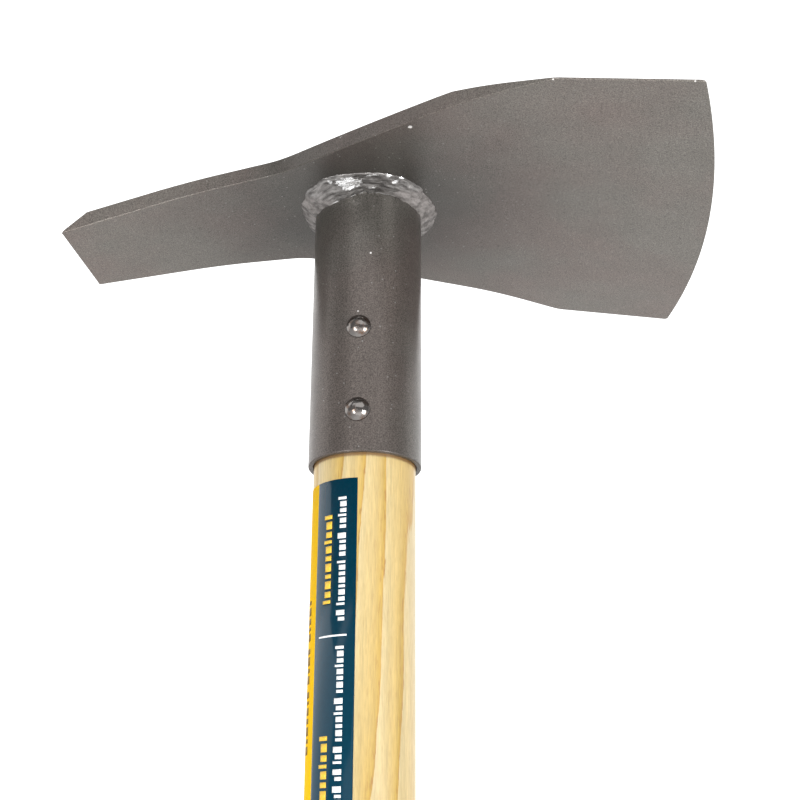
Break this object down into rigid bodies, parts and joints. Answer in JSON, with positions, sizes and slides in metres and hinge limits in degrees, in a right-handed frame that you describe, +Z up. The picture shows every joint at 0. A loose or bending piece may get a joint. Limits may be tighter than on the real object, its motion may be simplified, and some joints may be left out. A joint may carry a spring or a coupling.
{
  "type": "grub hoe",
  "caption": "Double-ended grub hoe: bent steel plate with a wide cutting blade and a narrow pick end, welded to a socket tube riveted on a straight hardwood shaft.",
  "frame": {"origin": "middle of the shaft's flat butt end", "axes": "+Z up the shaft towards the head, +X towards the wide cutting blade, rivets' round heads on -Y"},
  "size_m": [0.2532, 0.185, 1.3868],
  "materials": {
    "head_coating": "warm grey-brown metallic powder coat, satin",
    "weld_metal": "lumpy bead under a thin coat, part bright",
    "shaft_wood": "pale straight-grained hardwood, clear satin lacquer",
    "label_film": "dark teal and yellow printed film, gloss",
    "rivet_steel": "dark polished steel"
  },
  "bodies": {
    "root": {"blade_plate": "head_coating", "socket_tube": "head_coating", "socket_weld": "weld_metal", "handle": "shaft_wood", "handle_label": "label_film", "rivet_upper": "rivet_steel", "rivet_lower": "rivet_steel"}
  },
  "joints": []
}
